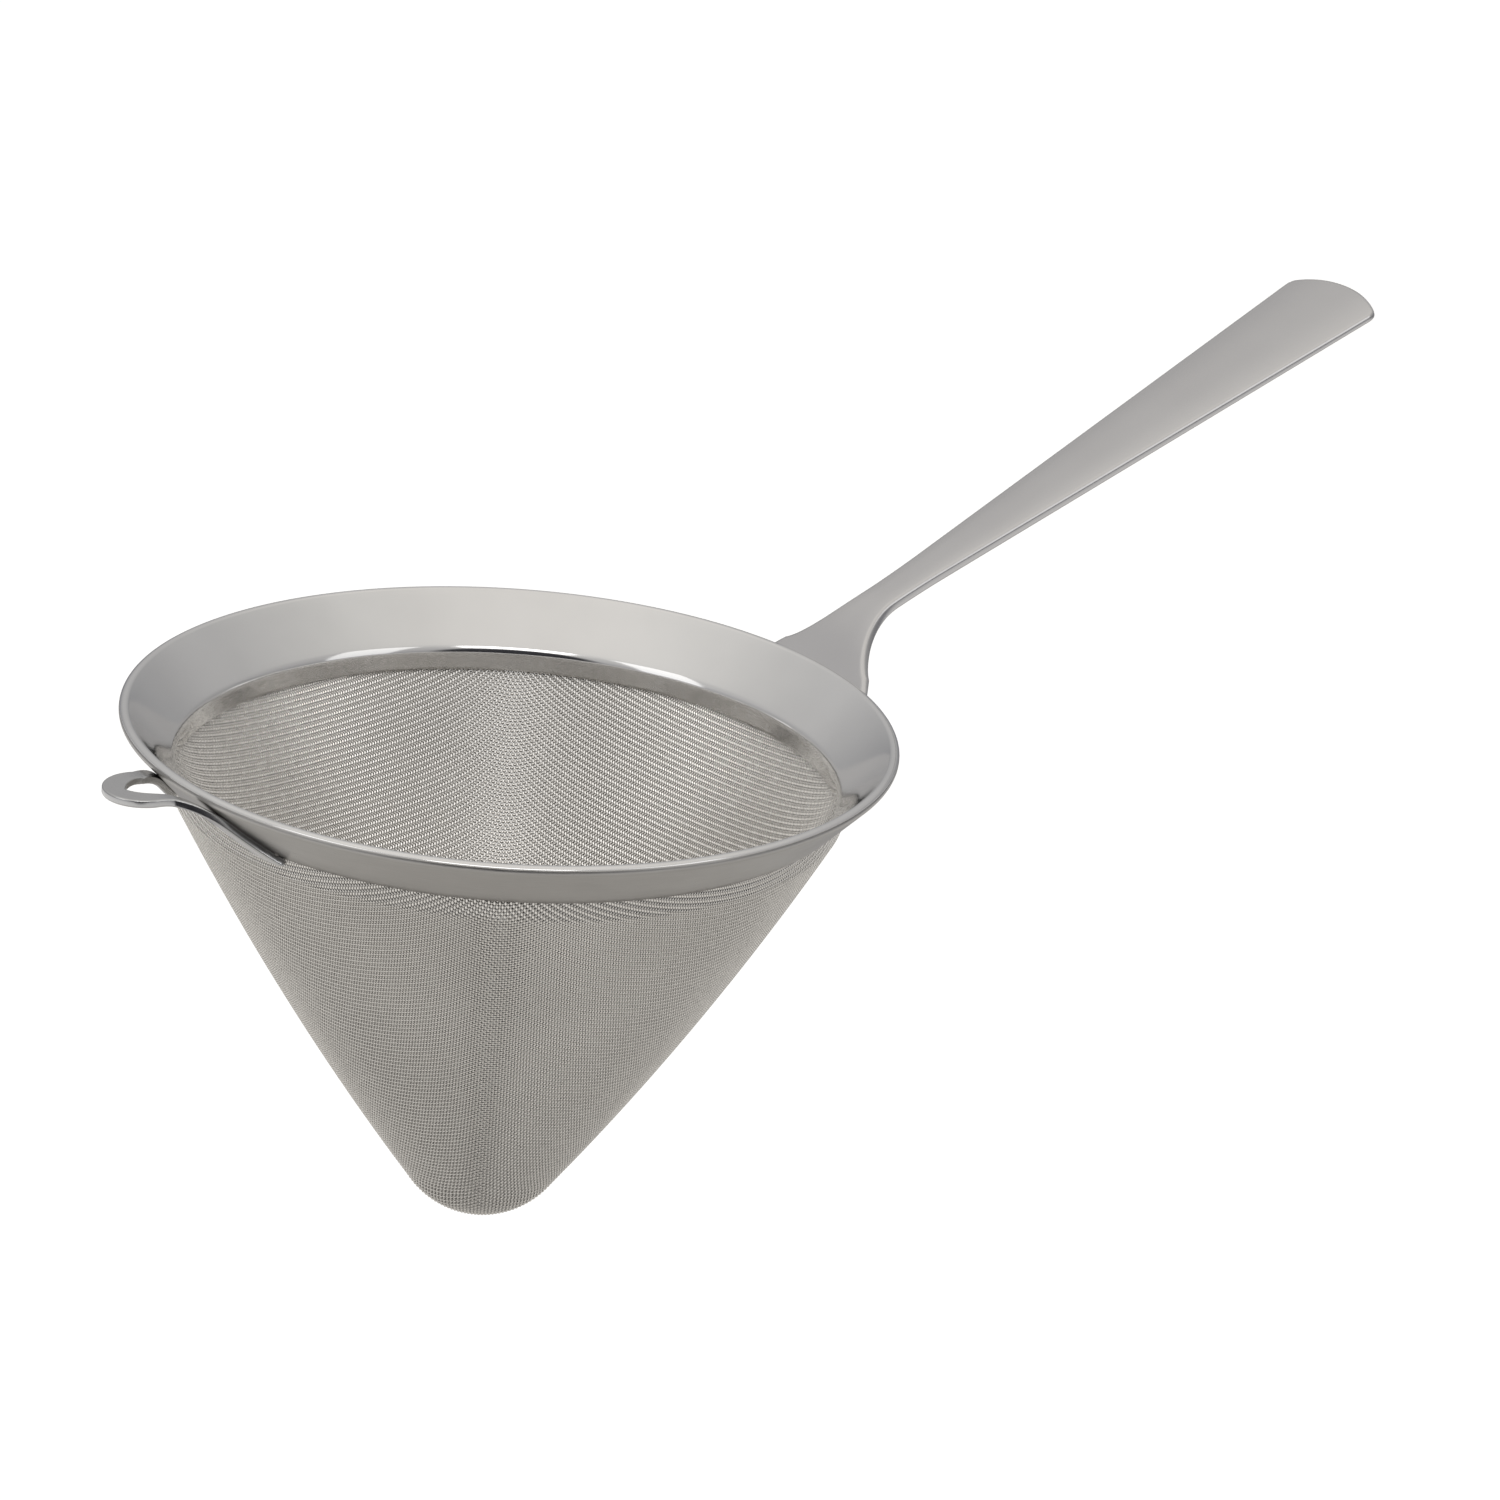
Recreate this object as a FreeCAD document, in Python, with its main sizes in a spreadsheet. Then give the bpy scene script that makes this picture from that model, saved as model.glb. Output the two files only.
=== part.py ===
import FreeCAD, Part
import math
import os
import Sketcher
from FreeCAD import Vector

# Conical tea strainer.  Millimetres, +Z up, origin on the cone axis in the plane of the rim's crest,
# +X towards the handle, the hanging loop on -X.
doc = FreeCAD.newDocument("tea_strainer")
sheet = doc.addObject("Spreadsheet::Sheet", "Sizes")

SIZES = [
    # name, value, what it is
    ("rim_radius", 50.0, "outermost radius of the rim"),
    ("lip_radius", 0.75, "outer radius of the rolled lip, half the rim's total thickness"),
    ("skin", 0.5, "sheet thickness of both rim rings"),
    ("cloth", 0.5, "thickness of the woven wire cloth, two wires"),
    ("funnel_angle", 46.8, "slope of the funnel wall from horizontal"),
    ("neck_radius", 42.5, "inside radius of the neck"),
    ("neck_bottom", 9.6, "depth of the neck's lower edge below the crest"),
    ("neck_bend", 1.5, "hidden radius where funnel turns into neck"),
    ("backing_reach", 7.8, "slant length of the backing ring below the lip"),
    ("collar_reach", 1.6, "distance of the cloth's upper edge below the lip centre"),
    ("cone_top_radius", 43.6, "outside radius of the cloth at the neck's lower edge"),
    ("cone_depth", 70.0, "depth of the cone's tip below the crest"),
    ("tip_radius", 12.0, "outside radius of the rounded tip"),
    ("tip_angle", 31.0, "angle from the tip's equator to where the side begins"),
    ("side_radius", 440.0, "radius of the slightly bulging cone side"),
    ("handle_gauge", 1.6, "thickness of the handle"),
    ("handle_slope", 23.6, "rise of the straight handle"),
    ("root_slope", 53.0, "steepest rise where the handle leaves the rim"),
    ("root_lift", 0.35, "length the tab runs on past the lip before it steepens"),
    ("root_steep", 3.72, "length of the steep part"),
    ("root_bend", 20.0, "bend radius from steep to straight, top face"),
    ("flare_half", 8.7, "half width where the flare's curve runs out"),
    ("flare_at", 50.5, "distance from the axis to the end of the flare's curve"),
    ("root_half", 10.8, "half width of the root, its corners tucked under the lip"),
    ("root_at", 48.6, "distance from the axis to the root's corners"),
    ("tab_reach", 5.9, "length of the handle tab along the rim's outside"),
    ("tab_half", 8.0, "half width at the tab's lower end"),
    ("waist_at", 60.0, "distance from the axis to the waist"),
    ("waist_half", 2.9, "half width at the waist"),
    ("waist_sweep", 10.6, "radius of the flare from waist to root"),
    ("taper_at", 68.0, "distance from the axis to where the straight taper begins"),
    ("taper_half", 3.22, "half width where the straight taper begins"),
    ("handle_tip", 140.75, "distance from the axis to the handle's end"),
    ("end_half", 8.65, "half width at the wide end"),
    ("end_corner", 1.6, "corner radius at the wide end"),
    ("end_bow", 1.8, "how far the end bows out past its corners"),
    ("end_sweep", 17.3, "radius of the end's bow"),
    ("loop_gauge", 1.0, "thickness of the hanging loop"),
    ("loop_drop", 0.3, "depth of the loop's top face below the crest"),
    ("loop_tip", 59.2, "distance from the axis to the loop's outer end"),
    ("loop_half", 4.9, "half width of the loop's nose"),
    ("loop_bend", 9.9, "bend radius of the loop under the lip, top face"),
    ("loop_reach", 7.1, "length of the loop arms along the rim's outside"),
    ("hole_tip", 56.6, "distance from the axis to the pointed end of the loop's hole"),
    ("hole_half", 2.4, "half width of the hole"),
    ("arm_spread", 13.2, "half width over the feet of the loop arms"),
    ("arm_width", 2.7, "width of a foot of the loop"),
    ("weld_leg", 0.6, "leg of the weld beads"),
]
for row, (name, value, note) in enumerate(SIZES, 1):
    sheet.set("A%d" % row, name)
    sheet.set("B%d" % row, "%g" % value)
    sheet.set("C%d" % row, note)
    sheet.setAlias("B%d" % row, name)
doc.recompute()


class Size:
    """A number that remembers the formula it came from, so sketches follow the sheet."""

    def __init__(self, value, text):
        self.value, self.text = value, text

    def _with(self, other, sign, work):
        if not isinstance(other, Size):
            other = Size(float(other), "(%r)" % float(other))
        return Size(work(self.value, other.value), "(%s %s %s)" % (self.text, sign, other.text))

    def __add__(self, other):
        return self._with(other, "+", lambda a, b: a + b)

    def __sub__(self, other):
        return self._with(other, "-", lambda a, b: a - b)

    def __mul__(self, other):
        return self._with(other, "*", lambda a, b: a * b)

    def __truediv__(self, other):
        return self._with(other, "/", lambda a, b: a / b)

    def __neg__(self):
        return Size(-self.value, "(0 - %s)" % self.text)


def fixed(value):
    return Size(float(value), "(%r)" % float(value))


def sin(angle):
    return Size(math.sin(math.radians(angle.value)), "sin(%s)" % angle.text)


def cos(angle):
    return Size(math.cos(math.radians(angle.value)), "cos(%s)" % angle.text)


def tan(angle):
    return Size(math.tan(math.radians(angle.value)), "tan(%s)" % angle.text)


S = {name: Size(sheet.get(name), "Sizes.%s" % name) for name, _, _ in SIZES}


def move(point, angle, distance):
    """Point moved by distance in the direction angle (degrees, counter-clockwise from +x)."""
    return point[0] + cos(angle) * distance, point[1] + sin(angle) * distance


def body(name):
    made = doc.addObject("PartDesign::Body", name)
    made.Label = name
    made.Placement = FreeCAD.Placement()
    return made


def plane(owner, role):
    return next(f for f in owner.Origin.OriginFeatures if f.Role == role)


def outline(owner, name, role, loops):
    """Closed loops of corners.  A corner is (x, y) and the edge that follows it is straight,
    or (x, y, radius, side) and the edge that follows is an arc bulging to that side."""
    sketch = owner.newObject("Sketcher::SketchObject", name)
    sketch.AttachmentSupport = (plane(owner, role), [""])
    sketch.MapMode = "FlatFace"
    for corners in loops:
        count = len(corners)
        ends = []
        for i, corner in enumerate(corners):
            after = corners[(i + 1) % count]
            a = Vector(corner[0].value, corner[1].value, 0)
            b = Vector(after[0].value, after[1].value, 0)
            if len(corner) == 2:
                number = sketch.addGeometry(Part.LineSegment(a, b), False)
                ends.append((number, 1, 2))
                continue
            radius, side = corner[2].value, corner[3]
            chord = b - a
            out = Vector(chord.y, -chord.x, 0).normalize() * side
            back = math.sqrt(max(radius ** 2 - (chord.Length / 2) ** 2, 0.0))
            centre = (a + b) * 0.5 - out * back
            start, stop = (a, b) if side > 0 else (b, a)
            angles = [math.atan2(p.y - centre.y, p.x - centre.x) for p in (start, stop)]
            if angles[1] < angles[0]:
                angles[1] += 2 * math.pi
            circle = Part.Circle(centre, Vector(0, 0, 1), radius)
            number = sketch.addGeometry(Part.ArcOfCircle(circle, *angles), False)
            ends.append((number, 1, 2) if side > 0 else (number, 2, 1))
        for i, (number, begin, end) in enumerate(ends):
            following = ends[(i + 1) % count]
            sketch.addConstraint(Sketcher.Constraint(
                "Coincident", number, end, following[0], following[1]))
        for i, corner in enumerate(corners):
            number, begin, _ = ends[i]
            for kind, size in (("DistanceX", corner[0]), ("DistanceY", corner[1])):
                at = sketch.addConstraint(Sketcher.Constraint(
                    kind, -1, 1, number, begin, size.value))
                sketch.setExpression("Constraints[%d]" % at, size.text)
            if len(corner) == 4:
                at = sketch.addConstraint(Sketcher.Constraint("Radius", number, corner[2].value))
                sketch.setExpression("Constraints[%d]" % at, corner[2].text)
    return sketch


def revolve(owner, sketch, name, angle=360.0):
    turned = owner.newObject("PartDesign::Revolution", name)
    turned.Profile = sketch
    turned.ReferenceAxis = (sketch, ["V_Axis"])
    turned.Angle = angle
    turned.Midplane = angle < 360.0
    owner.Tip = turned
    doc.recompute()
    return turned


# ---- lines shared by the rim parts --------------------------------------------------------------
slope = S["funnel_angle"]
lip = S["lip_radius"]
lip_x = S["rim_radius"] - lip                   # centre of the rolled lip
lip_z = -lip
out_x, out_z = sin(slope), -cos(slope)          # square to the funnel wall, away from the cup
down_x, down_z = -cos(slope), -sin(slope)       # along the funnel wall, towards the neck


def wall(depth, reach):
    """Point at depth below the polished face and reach down the slope from the lip centre."""
    off = depth - lip
    return (lip_x + out_x * off + down_x * reach, lip_z + out_z * off + down_z * reach)


def reach_at(depth, radius):
    """Reach at which a line at this depth meets a radius."""
    return (radius - wall(depth, fixed(0))[0]) / down_x


skin = S["skin"]
outer_face = lip * 2                             # depth of the rim's outside
backing_in = outer_face - skin
cloth_in, cloth_out = skin, skin + S["cloth"]

# ---- rim_funnel: polished ring, rolled over the lip at the top and turned down into the neck -----
rim_funnel = body("rim_funnel")
neck_in = S["neck_radius"]
neck_out = neck_in + skin
bend_in = S["neck_bend"] + skin                  # radius of the visible, polished side of the bend
half_turn = (fixed(90) - slope) / 2
tangent_out = tan(half_turn) * S["neck_bend"]
tangent_in = tan(half_turn) * bend_in
corner_in = wall(fixed(0), reach_at(fixed(0), neck_in))
corner_out = wall(skin, reach_at(skin, neck_out))
bottom = -S["neck_bottom"]
lip_in = lip - skin
lip_end = fixed(30)                              # the roll stops here, above the backing ring
funnel_sketch = outline(rim_funnel, "funnel_profile", "XZ_Plane", [[
    (neck_in, bottom),
    (neck_in, corner_in[1] - tangent_in, bend_in, -1),
    wall(fixed(0), reach_at(fixed(0), neck_in) - tangent_in),
    wall(fixed(0), fixed(0)) + (lip, -1),
    (lip_x + cos(lip_end) * lip, lip_z + sin(lip_end) * lip),
    (lip_x + cos(lip_end) * lip_in, lip_z + sin(lip_end) * lip_in, lip_in, 1),
    wall(skin, fixed(0)),
    wall(skin, reach_at(skin, neck_out) - tangent_out) + (S["neck_bend"], 1),
    (neck_out, corner_out[1] - tangent_out),
    (neck_out, bottom),
]])
revolve(rim_funnel, funnel_sketch, "funnel_ring")

# ---- rim_backing: brushed ring that closes the rim from outside and clamps the cloth -------------
rim_backing = body("rim_backing")
reach = S["backing_reach"]
backing_sketch = outline(rim_backing, "backing_profile", "XZ_Plane", [[
    wall(backing_in, reach),
    wall(backing_in, fixed(0)) + (lip_in, 1),
    (lip_x + cos(lip_end) * lip_in, lip_z + sin(lip_end) * lip_in),
    (lip_x + cos(lip_end) * lip, lip_z + sin(lip_end) * lip, lip, -1),
    wall(outer_face, fixed(0)),
    wall(outer_face, reach),
]])
revolve(rim_backing, backing_sketch, "backing_ring")

# ---- mesh_cone: woven wire cloth, clamped collar, bulging side and rounded tip -------------------
mesh_cone = body("mesh_cone")
cloth = S["cloth"]
tip = S["tip_radius"]
tip_z = tip - S["cone_depth"]
seat = -(S["neck_bottom"] + 0.1)
tip_in = tip - cloth
cone_sketch = outline(mesh_cone, "cone_profile", "XZ_Plane", [[
    wall(cloth_in, S["collar_reach"]),
    wall(cloth_out, S["collar_reach"]),
    wall(cloth_out, reach),
    (S["cone_top_radius"], seat, S["side_radius"], -1),
    (cos(S["tip_angle"]) * tip, tip_z - sin(S["tip_angle"]) * tip, tip, -1),
    (fixed(0), tip_z - tip),
    (fixed(0), tip_z - tip_in, tip_in, 1),
    (cos(S["tip_angle"]) * tip_in, tip_z - sin(S["tip_angle"]) * tip_in, S["side_radius"] - cloth, 1),
    (S["cone_top_radius"] - cloth, seat),
    wall(cloth_in, reach + 0.1),
]])
revolve(mesh_cone, cone_sketch, "cloth_shell")

# ---- shared by handle and loop: everything outside a plan outline is cut away --------------------
def trim(owner, name, islands):
    """Cut away all that lies outside the closed plan outlines."""
    frame = [(fixed(20), fixed(-60)), (fixed(200), fixed(-60)), (fixed(200), fixed(60)),
             (fixed(20), fixed(60))]
    sketch = outline(owner, name + "_plan", "XY_Plane", [frame] + islands)
    cut = owner.newObject("PartDesign::Pocket", name)
    cut.Profile = sketch
    cut.Type = "ThroughAll"
    cut.SideType = "Symmetric"
    owner.Tip = cut
    doc.recompute()
    return cut


def mirrored(corners):
    """Whole outline from its upper half, which starts, and may end, on the x axis."""
    upper = list(corners)
    ends_on_axis = upper[-1][1].value == 0
    if ends_on_axis:
        upper[-1] = upper[-1][:2] + upper[-2][2:]
    lower = []
    for k in range(len(corners) - (2 if ends_on_axis else 1), 0, -1):
        lower.append((corners[k][0], -corners[k][1]) + tuple(corners[k - 1][2:]))
    return upper + lower


# ---- handle: stamped strip, tab along the rim's outside, waist, widening to a bowed end ----------
handle = body("handle")
gauge = S["handle_gauge"]
rise, steep = S["handle_slope"], S["root_slope"]
tab_top = wall(outer_face, S["tab_reach"])
lift = wall(outer_face, -S["root_lift"])
steep_end = move(lift, steep, S["root_steep"])
turn = (steep - rise) / 2
sweep_end = move(steep_end, (steep + rise) / 2, sin(turn) * S["root_bend"] * 2)
split = S["waist_at"] + 2.0
split_top = (split, sweep_end[1] + (split - sweep_end[0]) * tan(rise))


def under(point, angle):
    """Point one gauge below the top face, square to a face that rises at this angle."""
    return point[0] + sin(angle) * gauge, point[1] - cos(angle) * gauge


knee = (slope + steep) / 2
root_sketch = outline(handle, "root_profile", "XZ_Plane", [[
    wall(outer_face + gauge, S["tab_reach"]),
    under(lift, knee),
    under(steep_end, steep) + (S["root_bend"] - gauge, -1),
    under(sweep_end, rise),
    under(split_top, rise),
    split_top,
    sweep_end + (S["root_bend"], 1),
    steep_end,
    lift,
    tab_top,
]])
revolve(handle, root_sketch, "root", 32.0)
stem_start = (sweep_end[0] + 1.0, sweep_end[1] + tan(rise) * 1.0)
stem_end = (S["handle_tip"] + 2.0, sweep_end[1] + (S["handle_tip"] + 2.0 - sweep_end[0]) * tan(rise))
stem_sketch = outline(handle, "stem_profile", "XZ_Plane", [[
    under(stem_start, rise), under(stem_end, rise), stem_end, stem_start,
]])
stem = handle.newObject("PartDesign::Pad", "stem")
stem.Profile = stem_sketch
stem.Length = 30
stem.SideType = "Symmetric"
handle.Tip = stem
doc.recompute()
zero = fixed(0)
corner_x = S["handle_tip"] - S["end_bow"]
trim(handle, "handle_outline", [mirrored([
    (S["handle_tip"], zero, S["end_sweep"], 1),
    (corner_x, S["end_half"] - S["end_corner"] * 0.6, S["end_corner"], 1),
    (corner_x - S["end_corner"], S["end_half"]),
    (S["taper_at"], S["taper_half"], fixed(100), -1),
    (S["waist_at"], S["waist_half"], S["waist_sweep"], -1),
    (S["flare_at"], S["flare_half"]),
    (S["root_at"], S["root_half"]),
    (S["root_at"] - 5.4, S["tab_half"]),
])])

# ---- handle_welds: bead under the tab's lower end -------------------------------------------------
leg = S["weld_leg"]


def bead(owner, name, reach_size, angle):
    """Triangular weld bead on the rim's outside at the end of a strip."""
    profile = outline(owner, name + "_profile", "XZ_Plane", [[
        wall(outer_face, reach_size),
        wall(outer_face, reach_size + leg),
        wall(outer_face + leg, reach_size),
    ]])
    return revolve(owner, profile, name, angle)


handle_welds = body("handle_welds")
bead(handle_welds, "tab_bead", S["tab_reach"], 18.0)

# ---- hanging_loop: strip bent to a pointed eye, its two arms laid on the rim's outside ------------
hanging_loop = body("hanging_loop")
plate = S["loop_gauge"]
bend = S["loop_bend"]
top = -S["loop_drop"]
knee_reach = (top - wall(outer_face, zero)[1]) / down_z
knee_x = wall(outer_face, knee_reach)[0]
run = tan(slope / 2) * bend
eye_end = S["loop_tip"] + 2.0
loop_sketch = outline(hanging_loop, "loop_profile", "XZ_Plane", [[
    wall(outer_face + plate, S["loop_reach"]),
    wall(outer_face + plate, knee_reach + run) + (bend - plate, -1),
    (knee_x + run, top - plate),
    (eye_end, top - plate),
    (eye_end, top),
    (knee_x + run, top, bend, 1),
    wall(outer_face, knee_reach + run),
    wall(outer_face, S["loop_reach"]),
]])
revolve(hanging_loop, loop_sketch, "loop_strip", 40.0)
foot_x = fixed(42)
trim(hanging_loop, "loop_outline", [mirrored([
    (S["loop_tip"], zero, S["loop_half"], 1),
    (S["loop_tip"] - S["loop_half"], S["loop_half"]),
    (S["loop_tip"] - S["loop_half"] - 1.5, S["loop_half"] + 0.15, fixed(40), -1),
    (foot_x, S["arm_spread"] + 0.8),
    (foot_x, S["arm_spread"] + 0.8 - S["arm_width"], fixed(40), 1),
    (S["hole_tip"] - 4.4, S["hole_half"] + 0.6, fixed(5), -1),
    (S["hole_tip"], zero),
])])

# ---- loop_welds: a bead under each foot of the loop -----------------------------------------------
loop_welds = body("loop_welds")
bead(loop_welds, "foot_beads", S["loop_reach"], 40.0)
inner_y = S["arm_spread"] - S["arm_width"] + 0.3
outer_y = S["arm_spread"] - 0.6
trim(loop_welds, "foot_bead_plan", [
    [(fixed(30), inner_y), (fixed(55), inner_y), (fixed(55), outer_y), (fixed(30), outer_y)],
    [(fixed(30), -outer_y), (fixed(55), -outer_y), (fixed(55), -inner_y), (fixed(30), -inner_y)],
])

# ---- placements, checks and files ----------------------------------------------------------------
opposite = FreeCAD.Placement(Vector(0, 0, 0), FreeCAD.Rotation(Vector(0, 0, 1), 180))
hanging_loop.Placement = opposite
loop_welds.Placement = opposite
doc.recompute()

pieces = [rim_funnel, rim_backing, mesh_cone, handle, hanging_loop, handle_welds, loop_welds]
for made in doc.Objects:
    if "Invalid" in made.State or "Error" in made.State:
        raise RuntimeError("%s did not build: %s" % (made.Name, made.State))
os.makedirs("parts", exist_ok=True)
for piece in pieces:
    shape = piece.Shape
    if shape.isNull() or not shape.isValid() or not shape.Solids:
        raise RuntimeError("%s has no sound solid" % piece.Label)
    shape.exportStep("parts/%s.step" % piece.Label)
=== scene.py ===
import math

import bmesh
import bpy
import numpy as np
from mathutils import Matrix, Quaternion, Vector
from mathutils.geometry import delaunay_2d_cdt


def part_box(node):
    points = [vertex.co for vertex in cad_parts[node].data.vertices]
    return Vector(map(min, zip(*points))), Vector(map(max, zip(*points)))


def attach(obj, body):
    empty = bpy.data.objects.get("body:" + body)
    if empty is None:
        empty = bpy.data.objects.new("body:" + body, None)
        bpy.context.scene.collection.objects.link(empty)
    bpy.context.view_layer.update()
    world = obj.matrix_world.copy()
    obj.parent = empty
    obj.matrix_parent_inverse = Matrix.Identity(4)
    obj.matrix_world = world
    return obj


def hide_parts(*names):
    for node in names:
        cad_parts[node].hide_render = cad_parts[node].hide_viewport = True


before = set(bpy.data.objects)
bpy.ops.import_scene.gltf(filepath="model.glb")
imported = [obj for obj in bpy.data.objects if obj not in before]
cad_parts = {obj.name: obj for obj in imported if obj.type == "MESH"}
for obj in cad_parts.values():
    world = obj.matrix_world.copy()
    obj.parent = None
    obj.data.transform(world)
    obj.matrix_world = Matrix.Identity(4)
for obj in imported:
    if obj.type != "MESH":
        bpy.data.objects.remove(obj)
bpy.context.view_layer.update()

# Tea strainer: conical woven wire cloth in a polished funnel rim, with a rising flat handle and a
# hanging loop.  Metres, origin on the cone's axis in the plane of the rim's crest, +Z up,
# +X towards the handle.
MM = 0.001

# ---- driving sizes, the same as the CAD's ---------------------------------------------------------
RIM_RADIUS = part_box("rim_funnel")[1][0]
CONE_DEPTH = -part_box("mesh_cone")[0][2]
HANDLE_GAUGE = 1.6 * MM
HANDLE_RISE = math.radians(23.6)    # slope of the handle's long straight part
HANDLE_EDGE = 0.45 * MM             # rounding of the handle's upper edges
HANDLE_UNDER_EDGE = 0.3 * MM
# The end of the plate is square to its faces, so its lower edge reaches furthest out.
HANDLE_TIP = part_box("handle")[1][0] - HANDLE_GAUGE * math.sin(HANDLE_RISE)
LOOP_TIP = -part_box("hanging_loop")[0][0]
LIP = 0.75 * MM                     # outer radius of the rolled lip
SKIN = 0.5 * MM                     # sheet thickness of both rim rings
CLOTH = 0.5 * MM                    # thickness of the woven cloth, two wires
PLAY = 0.05 * MM                    # clearance and weld sink, too small to see
SLOPE = math.radians(46.8)          # funnel wall from horizontal
NECK_RADIUS = 42.5 * MM             # inside of the short neck
NECK_BOTTOM = -9.6 * MM
NECK_BEND = 1.5 * MM
BACKING_REACH = 7.8 * MM            # lower edge of the backing ring
COLLAR_REACH = 1.6 * MM             # upper edge of the cloth, clamped between the rings
CONE_TOP_RADIUS = 43.6 * MM         # outside of the cloth just below the rings
TIP_RADIUS = 12.0 * MM
TIP_ANGLE = math.radians(31.0)      # how far below level the round tip meets the side
SIDE_RADIUS = 440.0 * MM            # the cone's side bulges this slightly
ROLL_END = math.radians(30)         # angle on the lip where the funnel's roll meets the backing
PITCHES_ACROSS = 214                # pitches of the weave in the rim's outer width
WIRE_PITCH = 2 * RIM_RADIUS / PITCHES_ACROSS
WIRE_RADIUS = CLOTH / 4
WIRE_WIDENING = 1.3                 # how many times as wide as high a wire is
BACK_AZIMUTH = math.radians(54.2)   # direction in which the weave lies square to the cone's side


# ---- small helpers --------------------------------------------------------------------------------
def wall(depth, reach):
    """(radius, z) at depth below the polished face and reach down the slope from the lip's centre."""
    off = depth - LIP
    return (RIM_RADIUS - LIP + math.sin(SLOPE) * off - math.cos(SLOPE) * reach,
            -LIP - math.cos(SLOPE) * off - math.sin(SLOPE) * reach)


def arc(centre, radius, start, stop, steps):
    """Points on an arc; angles in radians, counter-clockwise from the first axis."""
    return [(centre[0] + radius * math.cos(a), centre[1] + radius * math.sin(a))
            for a in np.linspace(start, stop, steps + 1)]


def run(a, b, steps):
    """Points on a straight run from a up to but not including b."""
    return [(a[0] + (b[0] - a[0]) * i / steps, a[1] + (b[1] - a[1]) * i / steps)
            for i in range(steps)]


def around(azimuth, elevation, distance):
    """Place at this distance from the rim's centre; angles in degrees."""
    a, e = math.radians(azimuth), math.radians(elevation)
    return Vector((math.cos(a) * math.cos(e), math.sin(a) * math.cos(e), math.sin(e))) * distance


def smoothed(values, width):
    """Values averaged over an odd number of neighbours, the ends held."""
    window = np.hanning(width) / np.hanning(width).sum()
    return np.convolve(np.pad(values, width // 2, "edge"), window, "valid")


def mesh_object(name, verts, faces):
    mesh = bpy.data.meshes.new(name)
    mesh.from_pydata(verts, [], faces)
    mesh.validate()
    mesh.shade_smooth()
    made = bpy.data.objects.new(name, mesh)
    bpy.context.scene.collection.objects.link(made)
    return made


def grid_mesh(name, points, quads, height=None):
    """Mesh object from numpy arrays of points (n, 3) and quads (m, 4).  height is a value for each
    point that a material can read."""
    mesh = bpy.data.meshes.new(name)
    mesh.vertices.add(len(points))
    mesh.vertices.foreach_set("co", points.astype(np.float32).ravel())
    mesh.loops.add(quads.size)
    mesh.loops.foreach_set("vertex_index", quads.astype(np.int32).ravel())
    mesh.polygons.add(len(quads))
    mesh.polygons.foreach_set("loop_start", np.arange(0, quads.size, 4, dtype=np.int32))
    mesh.polygons.foreach_set("loop_total", np.full(len(quads), 4, dtype=np.int32))
    mesh.update(calc_edges=True)
    if height is not None:
        mesh.attributes.new("height", "FLOAT", "POINT").data.foreach_set("value", height)
    mesh.validate()
    mesh.shade_smooth()
    made = bpy.data.objects.new(name, mesh)
    bpy.context.scene.collection.objects.link(made)
    return made


def lathe(name, profile, segments):
    """Closed ring: the closed (radius, z) profile turned about Z."""
    profile = np.array(profile)
    angle = np.linspace(0, 2 * math.pi, segments, endpoint=False)
    points = np.stack([np.outer(np.cos(angle), profile[:, 0]),
                       np.outer(np.sin(angle), profile[:, 0]),
                       np.tile(profile[:, 1], (segments, 1))], axis=2).reshape(-1, 3)
    count = len(profile)
    i, j = np.meshgrid(np.arange(segments), np.arange(count), indexing="ij")
    i2, j2 = (i + 1) % segments, (j + 1) % count
    quads = np.stack([i * count + j, i * count + j2, i2 * count + j2, i2 * count + j], axis=2)
    return grid_mesh(name, points, quads.reshape(-1, 4))


def put(piece, node, material):
    """The piece stands for a CAD node, which it hides, and takes the finish it is given."""
    piece.data.materials.clear()
    piece.data.materials.append(material)
    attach(piece, "root")
    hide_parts(node)


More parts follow.
